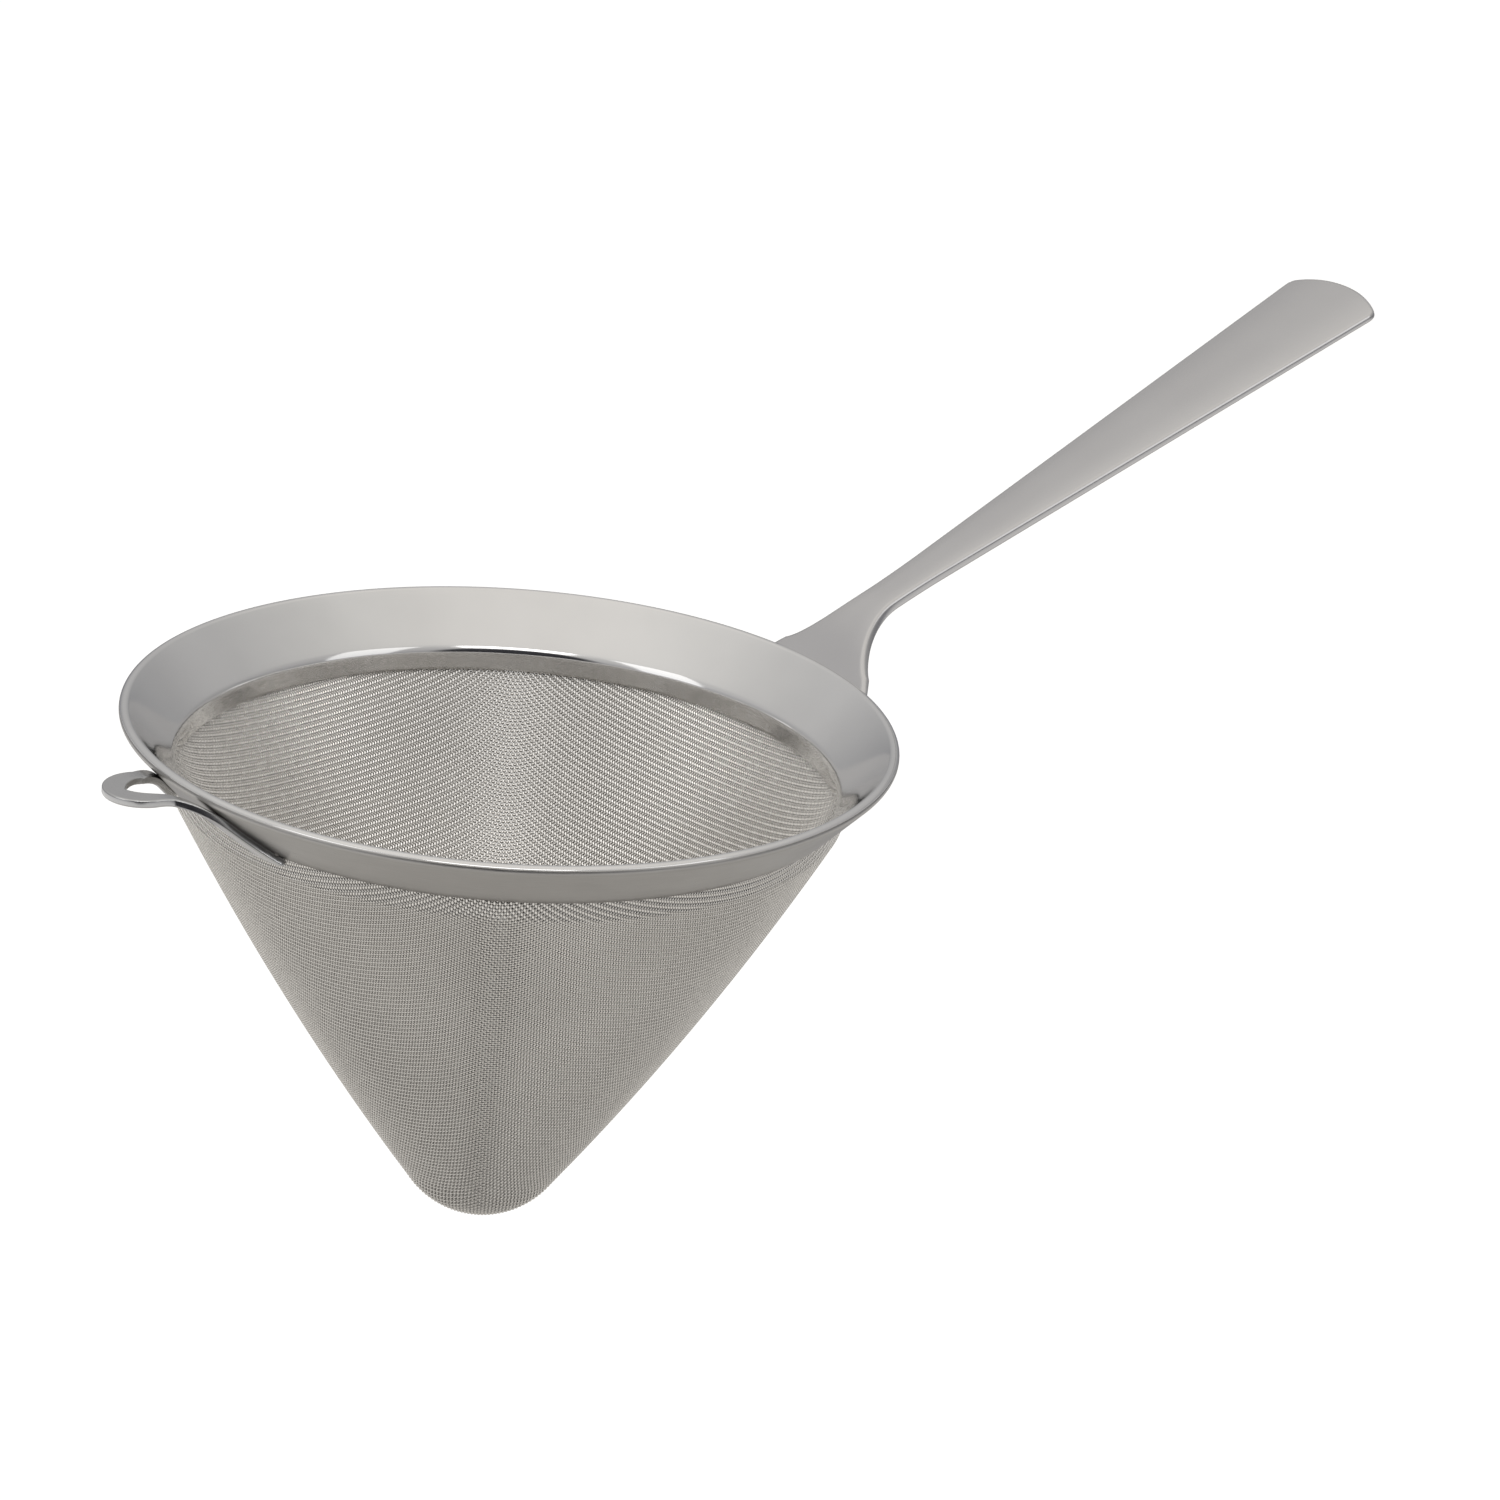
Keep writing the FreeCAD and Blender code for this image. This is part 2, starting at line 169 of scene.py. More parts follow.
# ---- materials ------------------------------------------------------------------------------------
class Shader:
    """A node material with a Principled shader and small helpers."""

    def __init__(self, name, metallic=1.0):
        self.material = bpy.data.materials.new(name)
        self.material.use_nodes = True
        self.tree = self.material.node_tree
        self.nodes = self.tree.nodes
        self.shader = self.nodes["Principled BSDF"]
        self.shader.inputs["Metallic"].default_value = metallic
        self.coordinates = self.nodes.new("ShaderNodeTexCoord")

    def add(self, kind, links=(), **settings):
        node = self.nodes.new(kind)
        for key, value in settings.items():
            setattr(node, key, value)
        for name, socket in links:
            self.tree.links.new(socket, node.inputs[name])
        return node

    def join(self, output, socket):
        self.tree.links.new(output, self.shader.inputs[socket])

    def stretched(self, scale):
        """Object coordinates, scaled per axis."""
        mapping = self.add("ShaderNodeMapping", [("Vector", self.coordinates.outputs["Object"])])
        mapping.inputs["Scale"].default_value = scale
        return mapping.outputs["Vector"]

    def round_axis(self, per_radian, per_radius, per_height):
        """Coordinates that follow the ring: angle, radius and height, each scaled."""
        split = self.add("ShaderNodeSeparateXYZ", [("Vector", self.coordinates.outputs["Object"])])
        x, y, z = (split.outputs[k] for k in "XYZ")
        flat = self.add("ShaderNodeCombineXYZ", [("X", x), ("Y", y)])
        radius = self.add("ShaderNodeVectorMath", operation="LENGTH")
        self.tree.links.new(flat.outputs[0], radius.inputs[0])
        angle = self.maths("ARCTAN2", y, x)
        parts = [self.maths("MULTIPLY", angle, per_radian),
                 self.maths("MULTIPLY", radius.outputs["Value"], per_radius),
                 self.maths("MULTIPLY", z, per_height)]
        joined = self.add("ShaderNodeCombineXYZ", list(zip("XYZ", parts)))
        return joined.outputs[0]

    def maths(self, operation, *values):
        node = self.add("ShaderNodeMath", operation=operation)
        for k, value in enumerate(values):
            if isinstance(value, (int, float)):
                node.inputs[k].default_value = value
            else:
                self.tree.links.new(value, node.inputs[k])
        return node.outputs[0]

    def noise(self, vector, scale, detail=3.0):
        made = self.add("ShaderNodeTexNoise", [("Vector", vector)])
        made.inputs["Scale"].default_value = scale
        made.inputs["Detail"].default_value = detail
        made.inputs["Roughness"].default_value = 0.55
        return made.outputs["Fac"]

    def ramp(self, factor, stops):
        """Factor mapped to colour stops [(place, colour)]."""
        made = self.add("ShaderNodeValToRGB", [("Fac", factor)])
        band = made.color_ramp
        for k, (place, colour) in enumerate(stops):
            stop = band.elements[k] if k < 2 else band.elements.new(place)
            stop.position = place
            stop.color = (*colour, 1.0)
        return made.outputs["Color"]

    def range(self, factor, low, high):
        """Noise, which mostly stays between 0.3 and 0.7, spread from low to high."""
        made = self.add("ShaderNodeMapRange", [("Value", factor)])
        for key, value in (("From Min", 0.3), ("From Max", 0.7), ("To Min", low), ("To Max", high)):
            made.inputs[key].default_value = value
        return made.outputs["Result"]

    def bump(self, height, strength, distance):
        made = self.add("ShaderNodeBump", [("Height", height)])
        made.inputs["Strength"].default_value = strength
        made.inputs["Distance"].default_value = distance
        self.join(made.outputs["Normal"], "Normal")


def polished_steel():
    """Funnel: nearly a mirror, with faint spinning lines and a soft haze that varies."""
    made = Shader("polished_steel")
    rings = made.noise(made.round_axis(3.0, 9000.0, 9000.0), 1.0, 2.0)
    haze = made.noise(made.stretched((1, 1, 1)), 60.0, 4.0)
    colour = made.ramp(haze, [(0.3, (0.71, 0.705, 0.70)), (0.7, (0.76, 0.755, 0.75))])
    made.join(colour, "Base Color")
    roughness = made.maths("ADD", made.range(haze, 0.05, 0.10), made.range(rings, 0.0, 0.05))
    made.join(roughness, "Roughness")
    made.bump(rings, 0.05, 0.02 * MM)
    return made.material


def brushed_rim():
    """Backing ring: fine lines running round the rim."""
    made = Shader("brushed_rim")
    lines = made.noise(made.round_axis(14.0, 26000.0, 26000.0), 1.0, 3.0)
    patches = made.noise(made.round_axis(6.0, 400.0, 400.0), 1.0, 3.0)
    colour = made.ramp(lines, [(0.25, (0.38, 0.37, 0.357)), (0.75, (0.51, 0.498, 0.48))])
    made.join(colour, "Base Color")
    roughness = made.maths("ADD", made.range(lines, 0.30, 0.42), made.range(patches, -0.04, 0.05))
    made.join(roughness, "Roughness")
    made.bump(lines, 0.25, 0.03 * MM)
    return made.material


def wire_steel():
    """Drawn wire: slightly mottled, with a painted highlight on the high points and painted shade
    where the wires dip under each other.
    """
    made = Shader("wire_cloth")
    mottle = made.noise(made.stretched((1, 1, 1)), 900.0, 3.0)
    broad = made.noise(made.stretched((1, 1, 1)), 45.0, 2.0)
    both = made.maths("ADD", made.maths("MULTIPLY", mottle, 0.6), made.maths("MULTIPLY", broad, 0.4))
    tone = made.ramp(both, [(0.3, (0.84, 0.83, 0.81)), (0.7, (1.0, 0.99, 0.97))])
    height = made.add("ShaderNodeAttribute", attribute_name="height").outputs["Fac"]
    # painted shade and highlight: base colour near black where a wire lies low in the cloth, full
    # where it lies high
    painted_shade_and_highlight = made.ramp(height, [(0.24, (0.04, 0.038, 0.034)), (0.76, (1.0, 0.985, 0.965))])
    colour = made.add("ShaderNodeVectorMath", operation="MULTIPLY")
    made.tree.links.new(tone, colour.inputs[0])
    made.tree.links.new(painted_shade_and_highlight, colour.inputs[1])
    made.join(colour.outputs["Vector"], "Base Color")
    made.join(made.range(mottle, 0.20, 0.32), "Roughness")
    made.bump(mottle, 0.15, 0.01 * MM)
    return made.material


def satin_steel(name, light, along):
    """Satin strip with a fine grain along one direction."""
    made = Shader(name)
    grain = made.noise(made.stretched(along), 1.0, 3.0)
    cloud = made.noise(made.stretched((1, 1, 1)), 70.0, 3.0)
    dark = tuple(c * 0.93 for c in light)
    both = made.maths("ADD", made.maths("MULTIPLY", grain, 0.5), made.maths("MULTIPLY", cloud, 0.5))
    made.join(made.ramp(both, [(0.3, dark), (0.7, light)]), "Base Color")
    roughness = made.maths("ADD", made.range(grain, 0.16, 0.22), made.range(cloud, 0.0, 0.05))
    made.join(roughness, "Roughness")
    made.bump(grain, 0.08, 0.01 * MM)
    return made.material


def weld_steel():
    """Bare, slightly scaled weld metal."""
    made = Shader("weld")
    scale = made.noise(made.stretched((1, 1, 1)), 2500.0, 4.0)
    colour = made.ramp(scale, [(0.3, (0.16, 0.15, 0.14)), (0.7, (0.33, 0.315, 0.295))])
    made.join(colour, "Base Color")
    made.join(made.range(scale, 0.45, 0.7), "Roughness")
    made.bump(scale, 0.5, 0.05 * MM)
    return made.material


# ---- rim ------------------------------------------------------------------------------------------
RING_STEPS = 720
EDGE = 0.06 * MM                    # rounding of cut sheet edges
EDGE_MIDDLE = EDGE * 0.3            # the middle of that rounding, from each face


def reach_at(depth, radius):
    """Reach at which the line at this depth below the polished face meets a radius."""
    return (wall(depth, 0)[0] - radius) / math.cos(SLOPE)


def funnel_profile():
    """Section of the polished ring: neck, bend, funnel wall, rolled lip, and back inside."""
    half_turn = (math.pi / 2 - SLOPE) / 2
    bend_in = NECK_BEND + SKIN
    neck_out = NECK_RADIUS + SKIN
    corner_in = reach_at(0, NECK_RADIUS)
    corner_out = reach_at(SKIN, neck_out)
    face_end = corner_in - math.tan(half_turn) * bend_in
    back_end = corner_out - math.tan(half_turn) * NECK_BEND
    neck_top = wall(0, corner_in)[1] - math.tan(half_turn) * bend_in
    lip_centre = (RIM_RADIUS - LIP, -LIP)
    bend_centre = (NECK_RADIUS + bend_in, neck_top)
    start = math.pi / 2 + SLOPE
    points = [(NECK_RADIUS + EDGE, NECK_BOTTOM),
              (NECK_RADIUS + EDGE_MIDDLE, NECK_BOTTOM + EDGE_MIDDLE)]
    points += run((NECK_RADIUS, NECK_BOTTOM + EDGE), (NECK_RADIUS, neck_top), 6)
    points += arc(bend_centre, bend_in, math.pi, start, 10)
    points += run(wall(0, face_end), wall(0, 0), 8)[1:]
    points += arc(lip_centre, LIP, start, ROLL_END, 20)
    points += arc(lip_centre, LIP - SKIN, ROLL_END, start, 12)
    points += run(wall(SKIN, 0), wall(SKIN, back_end), 6)[1:]
    points += arc(bend_centre, NECK_BEND, start, math.pi, 8)
    points += [(neck_out, NECK_BOTTOM + EDGE), (neck_out - EDGE_MIDDLE, NECK_BOTTOM + EDGE_MIDDLE),
               (neck_out - EDGE, NECK_BOTTOM)]
    return points


def backing_profile():
    """Section of the brushed ring below the lip, its lower edge slightly rounded."""
    outer, inner = 2 * LIP, 2 * LIP - SKIN
    lip_centre = (RIM_RADIUS - LIP, -LIP)
    end = SLOPE - math.pi / 2
    points = [wall(inner + EDGE, BACKING_REACH),
              wall(inner + EDGE_MIDDLE, BACKING_REACH - EDGE_MIDDLE)]
    points += run(wall(inner, BACKING_REACH - EDGE), wall(inner, 0), 6)
    points += arc(lip_centre, LIP - SKIN, end, ROLL_END, 8)
    points += arc(lip_centre, LIP, ROLL_END, end, 12)
    points += run(wall(outer, 0), wall(outer, BACKING_REACH - EDGE), 8)[1:]
    points += [wall(outer, BACKING_REACH - EDGE),
               wall(outer - EDGE_MIDDLE, BACKING_REACH - EDGE_MIDDLE),
               wall(outer - EDGE, BACKING_REACH)]
    return points


put(lathe("rim_funnel_ring", funnel_profile(), RING_STEPS), "rim_funnel",
    polished_steel())
put(lathe("rim_backing_ring", backing_profile(), RING_STEPS), "rim_backing",
    brushed_rim())


# ---- woven cloth ----------------------------------------------------------------------------------
def cone_line():
    """Middle line of the cloth from the tip's centre up to the collar: (radius, z) points."""
    middle = CLOTH / 2
    tip_z = TIP_RADIUS - CONE_DEPTH
    tip_end = -TIP_ANGLE
    side_low = (TIP_RADIUS * math.cos(tip_end), tip_z + TIP_RADIUS * math.sin(tip_end))
    seat = (CONE_TOP_RADIUS, NECK_BOTTOM - 2 * PLAY)
    chord = Vector((seat[0] - side_low[0], seat[1] - side_low[1]))
    back = math.sqrt(SIDE_RADIUS ** 2 - (chord.length / 2) ** 2)
    inward = Vector((-chord.y, chord.x)).normalized()
    centre = (Vector(side_low) + Vector(seat)) / 2 + inward * back
    low = math.atan2(side_low[1] - centre.y, side_low[0] - centre.x)
    high = math.atan2(seat[1] - centre.y, seat[0] - centre.x)
    points = arc((0, tip_z), TIP_RADIUS - middle, -math.pi / 2, tip_end, 60)[:-1]
    points += arc(centre, SIDE_RADIUS - middle, low, high, 200)[1:]
    knee = wall(SKIN + middle, BACKING_REACH + PLAY)
    collar = wall(SKIN + middle, COLLAR_REACH + WIRE_RADIUS)
    points += run((CONE_TOP_RADIUS - middle, seat[1]), knee, 20)[1:]
    points += run(knee, collar, 40)
    points.append(collar)
    return np.array(points)


class Cloth:
    """Square-woven cloth pressed into the cone.  (u, v) are lengths along the two sets of wires
    from the tip's centre; on the cone the weave shears between four square directions."""

    CONE_HALF = math.radians(31.0)  # half angle that sets the shear
    KINK = math.radians(9.0)        # width over which the wires turn at the square directions
    DOME = 9 * MM                   # the shear sets in from 0.6 to 1.6 of this length from the tip
    SAMPLES = 4000                  # places along the cone's line
    SOFTEN = 41                     # samples over which its direction is smoothed
    NEWTON_STEPS = 60
    NEWTON_SHARE = 0.8              # share of each full step that is taken
    LONGEST, WIDEST = 4 * MM, 0.2   # limits of a full step, in length and in radians
    MISS = 0.02 * MM                # a crossing found to within this is good

    def __init__(self):
        line = cone_line()
        step = np.hypot(*np.diff(line, axis=0).T)
        self.length = np.concatenate([[0], np.cumsum(step)])
        self.top = self.length[-1]
        self.fine = np.linspace(0, self.top, self.SAMPLES)
        self.radius = np.interp(self.fine, self.length, line[:, 0])
        self.height = np.interp(self.fine, self.length, line[:, 1])
        slope_r = smoothed(np.gradient(self.radius, self.fine), self.SOFTEN)
        slope_z = smoothed(np.gradient(self.height, self.fine), self.SOFTEN)
        norm = np.hypot(slope_r, slope_z)
        self.out_r, self.out_z = slope_z / norm, -slope_r / norm

    def share(self, turn, length):
        """u / length at an angle from the u direction."""
        sine = math.sin(self.CONE_HALF)
        full = math.pi / 2 * sine
        turn = (turn + math.pi) % (2 * math.pi) - math.pi
        size = np.abs(turn)
        flip = np.where(size > math.pi / 2, -1.0, 1.0)
        size = np.where(size > math.pi / 2, math.pi - size, size)
        soft = np.sqrt(size ** 2 + self.KINK ** 2) - self.KINK
        soft *= (math.pi / 2) / (math.sqrt((math.pi / 2) ** 2 + self.KINK ** 2) - self.KINK)
        sheared = np.sin(full - soft * sine) / math.sin(full)
        mix = np.clip(length / self.DOME - 0.6, 0, 1)
        mix = mix * mix * (3 - 2 * mix)
        return flip * (np.cos(size) * (1 - mix) + sheared * mix)

    def uv(self, length, turn):
        return length * self.share(turn, length), length * self.share(turn - math.pi / 2, length)

    def place(self, u, v):
        """(length, turn) of the crossings at u, v, by Newton steps on a polar first guess."""
        length = np.hypot(u, v) + 1e-9
        turn = np.arctan2(v, u)
        small, tiny = 1e-7, 1e-5
        for _ in range(self.NEWTON_STEPS):
            fu, fv = self.uv(length, turn)
            su, sv = self.uv(length + small, turn)
            tu, tv = self.uv(length, turn + tiny)
            a, c = (su - fu) / small, (sv - fv) / small
            b, d = (tu - fu) / tiny, (tv - fv) / tiny
            det = a * d - b * c
            det = np.where(np.abs(det) < 1e-12, 1e-12, det)
            eu, ev = u - fu, v - fv
            step_l = np.clip((d * eu - b * ev) / det, -self.LONGEST, self.LONGEST)
            step_t = np.clip((a * ev - c * eu) / det, -self.WIDEST, self.WIDEST)
            length = np.maximum(length + self.NEWTON_SHARE * step_l, small)
            turn = turn + self.NEWTON_SHARE * step_t
        return length, turn


def weave():
    """Crossings of the wires: place, surface normal, which wire lies outside, and which exist."""
    cloth = Cloth()
    reach = int(cloth.top * 1.5 / WIRE_PITCH)
    index = np.arange(-reach, reach + 1)
    i, j = np.meshgrid(index, index, indexing="ij")
    shift = 0.5 * WIRE_PITCH        # the tip's centre lies inside a mesh opening
    u, v = i * WIRE_PITCH + shift, j * WIRE_PITCH + shift
    length, turn = cloth.place(u, v)
    fu, fv = cloth.uv(length, turn)
    good = (np.hypot(fu - u, fv - v) < cloth.MISS) & (length <= cloth.top)
    length = np.minimum(length, cloth.top)
    radius = np.interp(length, cloth.fine, cloth.radius)
    height = np.interp(length, cloth.fine, cloth.height)
    out_r = np.interp(length, cloth.fine, cloth.out_r)
    out_z = np.interp(length, cloth.fine, cloth.out_z)
    azimuth = turn + BACK_AZIMUTH
    across = np.stack([np.cos(azimuth), np.sin(azimuth), np.zeros_like(azimuth)], axis=-1)
    up = np.array([0, 0, 1.0])
    centre = across * radius[..., None] + up * height[..., None]
    normal = across * out_r[..., None] + up * out_z[..., None]
    over = np.where((i + j) % 2 == 0, 1.0, -1.0)[..., None] * WIRE_RADIUS
    return centre, normal, over, good


WIRE_GROUPS = 6                     # pieces for each direction of wire, to keep each mesh light
WIRE_SIDES = 6                      # sides of each tube


def wire_tubes(name, middle, normal, over, good):
    """Tubes along each row of crossings, in WIRE_GROUPS pieces.  over is how far the wire lies
    outside the cloth's middle surface."""
    sides = WIRE_SIDES
    centre = middle + normal * over
    ahead = np.zeros_like(centre)
    ahead[:, 1:-1] = centre[:, 2:] - centre[:, :-2]
    ahead[:, 0] = centre[:, 1] - centre[:, 0]
    ahead[:, -1] = centre[:, -1] - centre[:, -2]
    left_good = np.zeros_like(good)
    right_good = np.zeros_like(good)
    left_good[:, 1:] = good[:, :-1]
    right_good[:, :-1] = good[:, 1:]
    only_right = good & right_good & ~left_good
    only_left = good & left_good & ~right_good
    ahead[:, :-1][only_right[:, :-1]] = (centre[:, 1:] - centre[:, :-1])[only_right[:, :-1]]
    ahead[:, 1:][only_left[:, 1:]] = (centre[:, 1:] - centre[:, :-1])[only_left[:, 1:]]
    ahead /= np.linalg.norm(ahead, axis=-1, keepdims=True) + 1e-12
    side = np.cross(ahead, normal)
    side /= np.linalg.norm(side, axis=-1, keepdims=True) + 1e-12
    lift = np.cross(side, ahead)
    angle = (np.arange(sides) + 0.5) * 2 * math.pi / sides
    ring = (centre[..., None, :]
            + WIRE_RADIUS * (WIRE_WIDENING * np.cos(angle)[:, None] * side[..., None, :]
                             + np.sin(angle)[:, None] * lift[..., None, :]))
    level = (lift * normal).sum(axis=-1)[..., None] * np.sin(angle)
    height = np.abs(over / WIRE_RADIUS + level) / 2
    linked = good[:, :-1] & good[:, 1:]
    share = np.cumsum(linked.sum(axis=1)) / linked.sum()
    group = np.minimum((share * WIRE_GROUPS).astype(int), WIRE_GROUPS - 1)
    made = []
    for part in range(WIRE_GROUPS):
        rows, columns = np.nonzero(linked & (group == part)[:, None])
        number = np.full(good.shape, -1)
        needed = np.zeros_like(good)
        needed[rows, columns] = True
        needed[rows, columns + 1] = True
        number[needed] = np.arange(needed.sum())
        start, stop = number[rows, columns], number[rows, columns + 1]
        k = np.arange(sides)
        k2 = (k + 1) % sides
        quads = np.stack([start[:, None] * sides + k, start[:, None] * sides + k2,
                          stop[:, None] * sides + k2, stop[:, None] * sides + k], axis=2)
        points = ring[needed].reshape(-1, 3)
        made.append(grid_mesh("%s_%d" % (name, part + 1), points, quads.reshape(-1, 4),
                              height[needed].ravel().astype(np.float32)))
    return made


centre, normal, over, good = weave()
steel_wire = wire_steel()
for piece in wire_tubes("warp_wires", centre, normal, over, good):
    put(piece, "mesh_cone", steel_wire)
turned = (1, 0, 2)
for piece in wire_tubes("weft_wires", centre.transpose(turned), normal.transpose(turned),
                        -over.transpose(turned), good.T):
    put(piece, "mesh_cone", steel_wire)


# ---- pressed strips: handle and hanging loop -------------------------------------------------------
OUTLINE_STEP = 0.35 * MM            # spacing of the points on a strip's outline
FIELD_GAP = 0.6 * MM                # spacing of the points inside it
EDGE_RINGS = (0.04, 0.15, 0.32, 0.55, 0.8, 1.1)     # rows of points on the rounded edge
INNER_RINGS, INNER_GAP = 9, 0.16 * MM               # rows of points just inside it


def outline(corners):
    """Closed outline, symmetric about the x axis, from its upper half.  A corner is (x, y), or
    (x, y, radius, side) when an arc that bulges to that side leads to the next corner."""
    upper = []
    for here, after in zip(corners, corners[1:]):
        a, b = Vector(here[:2]), Vector(after[:2])
        chord = b - a
        if len(here) == 2:
            count = max(1, round(chord.length / OUTLINE_STEP))
            upper += [tuple(a + chord * k / count) for k in range(count)]
            continue
        radius, side = here[2:]
        half = math.asin(chord.length / 2 / radius)
        out = Vector((chord.y, -chord.x)).normalized() * side
        centre = (a + b) / 2 - out * radius * math.cos(half)
        first = math.atan2(a.y - centre.y, a.x - centre.x)
        count = max(2, round(2 * half * radius / OUTLINE_STEP))
        upper += [(centre.x + radius * math.cos(first + side * 2 * half * k / count),
                   centre.y + radius * math.sin(first + side * 2 * half * k / count))
                  for k in range(count)]
    upper.append(tuple(corners[-1][:2]))
    lower = [(x, -y) for x, y in reversed(upper[1:])]
    if upper[-1][1] == 0:
        lower = lower[1:]
    return np.array(upper + lower)


def edge_distance(points, loop):
    """Distance from each point to the closed outline."""
    start, stop = loop, np.roll(loop, -1, axis=0)
    along = stop - start
    best = np.full(len(points), np.inf)
    for a, d in zip(start, along):
        t = np.clip(((points - a) @ d) / (d @ d), 0, 1)
        best = np.minimum(best, np.hypot(*(points - a - t[:, None] * d).T))
    return best


def inside(points, loop):
    """True for points inside the closed outline, by counting crossings."""
    x, y = points[:, 0], points[:, 1]
    odd = np.zeros(len(points), bool)
    for (x1, y1), (x2, y2) in zip(loop, np.roll(loop, -1, axis=0)):
        if y1 != y2:
            odd ^= ((y1 > y) != (y2 > y)) & (x < (x2 - x1) * (y - y1) / (y2 - y1) + x1)
    return odd


def strip(name, loop, fold, top, bottom, rounding):
    """Closed plate with this plan outline, bent by fold(x, y, height).  top and bottom give the
    heights of its faces from the distance to the edge and the place."""
    toward = np.roll(loop, -1, axis=0) - np.roll(loop, 1, axis=0)
    inward = np.stack([-toward[:, 1], toward[:, 0]], axis=1)
    inward /= np.linalg.norm(inward, axis=1, keepdims=True)
    if not inside(loop[:1] + inward[:1] * PLAY, loop)[0]:
        inward = -inward
    points = [loop]
    ring_depths = [rounding * share for share in EDGE_RINGS]
    ring_depths += [ring_depths[-1] + INNER_GAP * k for k in range(1, INNER_RINGS + 1)]
    for depth in ring_depths:
        ring = loop + inward * depth
        keep = inside(ring, loop) & (edge_distance(ring, loop) > depth * 0.98)
        points.append(ring[keep])
    low, high = loop.min(axis=0), loop.max(axis=0)
    x, y = np.meshgrid(*(np.arange(low[k], high[k], FIELD_GAP) for k in (0, 1)))
    field = np.stack([x.ravel(), y.ravel()], axis=1)
    field = field[inside(field, loop)]
    points.append(field[edge_distance(field, loop) > ring_depths[-1] + 0.25 * MM])
    flat = np.concatenate(points)
    count = len(loop)
    rim_edges = [(k, (k + 1) % count) for k in range(count)]
    scale = 1 / MM                  # triangulated in millimetres
    made = delaunay_2d_cdt([Vector(p) * scale for p in flat.tolist()], rim_edges, [], 0, 1e-7)
    flat = np.array([tuple(v) for v in made[0]]) / scale
    faces = np.array(made[2])
    origin = {source: new for new, sources in enumerate(made[3]) for source in sources}
    rim = [origin[k] for k in range(count)]
    faces = faces[inside(flat[faces].mean(axis=1), loop)]
    depth = edge_distance(flat, loop)
    depth[rim] = 0
    upper = fold(flat, top(depth, flat))
    under = fold(flat, bottom(depth, flat))
    number = len(flat)
    closed = faces.tolist() + (faces[:, ::-1] + number).tolist()
    closed += [(rim[k], rim[k - 1], rim[k - 1] + number, rim[k] + number) for k in range(count)]
    piece = mesh_object(name, np.concatenate([upper, under]).tolist(), closed)
    tidy = bmesh.new()
    tidy.from_mesh(piece.data)
    bmesh.ops.recalc_face_normals(tidy, faces=tidy.faces)
    loose = [v for v in tidy.verts if not v.link_faces]
    bmesh.ops.delete(tidy, geom=loose, context="VERTS")
    tidy.to_mesh(piece.data)
    tidy.free()
    piece.data.shade_smooth()
    return piece


def rounded(depth, radius):
    """Drop of a face towards its rounded edge."""
    near = np.clip(radius - depth, 0, radius)
    return np.sqrt(radius ** 2 - near ** 2) - radius


BEND_SAMPLES = 3000                 # places along a strip's line
BEND_SOFTEN = 61                    # samples over which its bends are smoothed


def bent(line, straight_from=1.0, straight_by=2.0):
    """fold() for a plate that follows the (radius, z) line round the axis, and turns into a plain
    flat strip between the two distances, which by default lie far past the plate."""
    line = np.array(line)
    fine = np.linspace(line[0, 0], line[-1, 0], BEND_SAMPLES)
    height = np.interp(fine, line[:, 0], line[:, 1])
    slope = smoothed(np.gradient(height, fine), BEND_SOFTEN)
    rise = np.cumsum((slope[1:] + slope[:-1]) / 2) * (fine[1] - fine[0])
    height = height[0] + np.concatenate([[0], rise])
    height += line[-1, 1] - height[-1]

    def fold(flat, lift):
        x, y = flat.T
        ease = np.clip((x - straight_from) / (straight_by - straight_from), 0, 1)
        turned = 1 - ease * ease * (3 - 2 * ease)
        radius = np.sqrt(x ** 2 + (turned * y) ** 2)
        grade = np.interp(radius, fine, slope)
        length = np.sqrt(1 + grade ** 2)
        return np.stack([x - lift * grade / length * x / radius,
                         y - lift * grade / length * turned * y / radius,
                         np.interp(radius, fine, height) + lift / length], axis=1)

    return fold


ROOT_RISE = math.radians(53.0)      # slope of the handle's steep root
ROOT_BEND = 20.0 * MM               # radius of the bend that leads from it to the long part
ROOT_LIFT = 0.35 * MM               # length that the tab runs on past the lip before it steepens
ROOT_STEEP = 3.72 * MM              # length of the steep part
TAB_END = 6.5 * MM                  # reach of the tab's lower end
STRAIGHT_FROM, STRAIGHT_BY = 57 * MM, 66 * MM       # the handle leaves the rim's curve here
SPARE = 5 * MM                      # how far a strip's line runs on past its outline
END_HALF = 8.65 * MM                # half width at the wide end
WAIST_AT, WAIST_HALF = 60.0 * MM, 2.9 * MM
TAPER_AT, TAPER_HALF = 68.0 * MM, 3.22 * MM
CROWN = 0.06                        # height of the crowned top face as a share of its half width

HANDLE_OUTLINE = [
    (HANDLE_TIP, 0.0, 17.3 * MM, 1),
    (HANDLE_TIP - 1.8 * MM, END_HALF - 0.96 * MM, 1.6 * MM, 1),
    (HANDLE_TIP - 3.4 * MM, END_HALF),
    (TAPER_AT, TAPER_HALF, 100.0 * MM, -1),
    (WAIST_AT, WAIST_HALF, 10.6 * MM, -1),
    (50.5 * MM, 8.7 * MM),
    (48.6 * MM, 10.8 * MM),
    (43.8 * MM, 8.2 * MM),
]


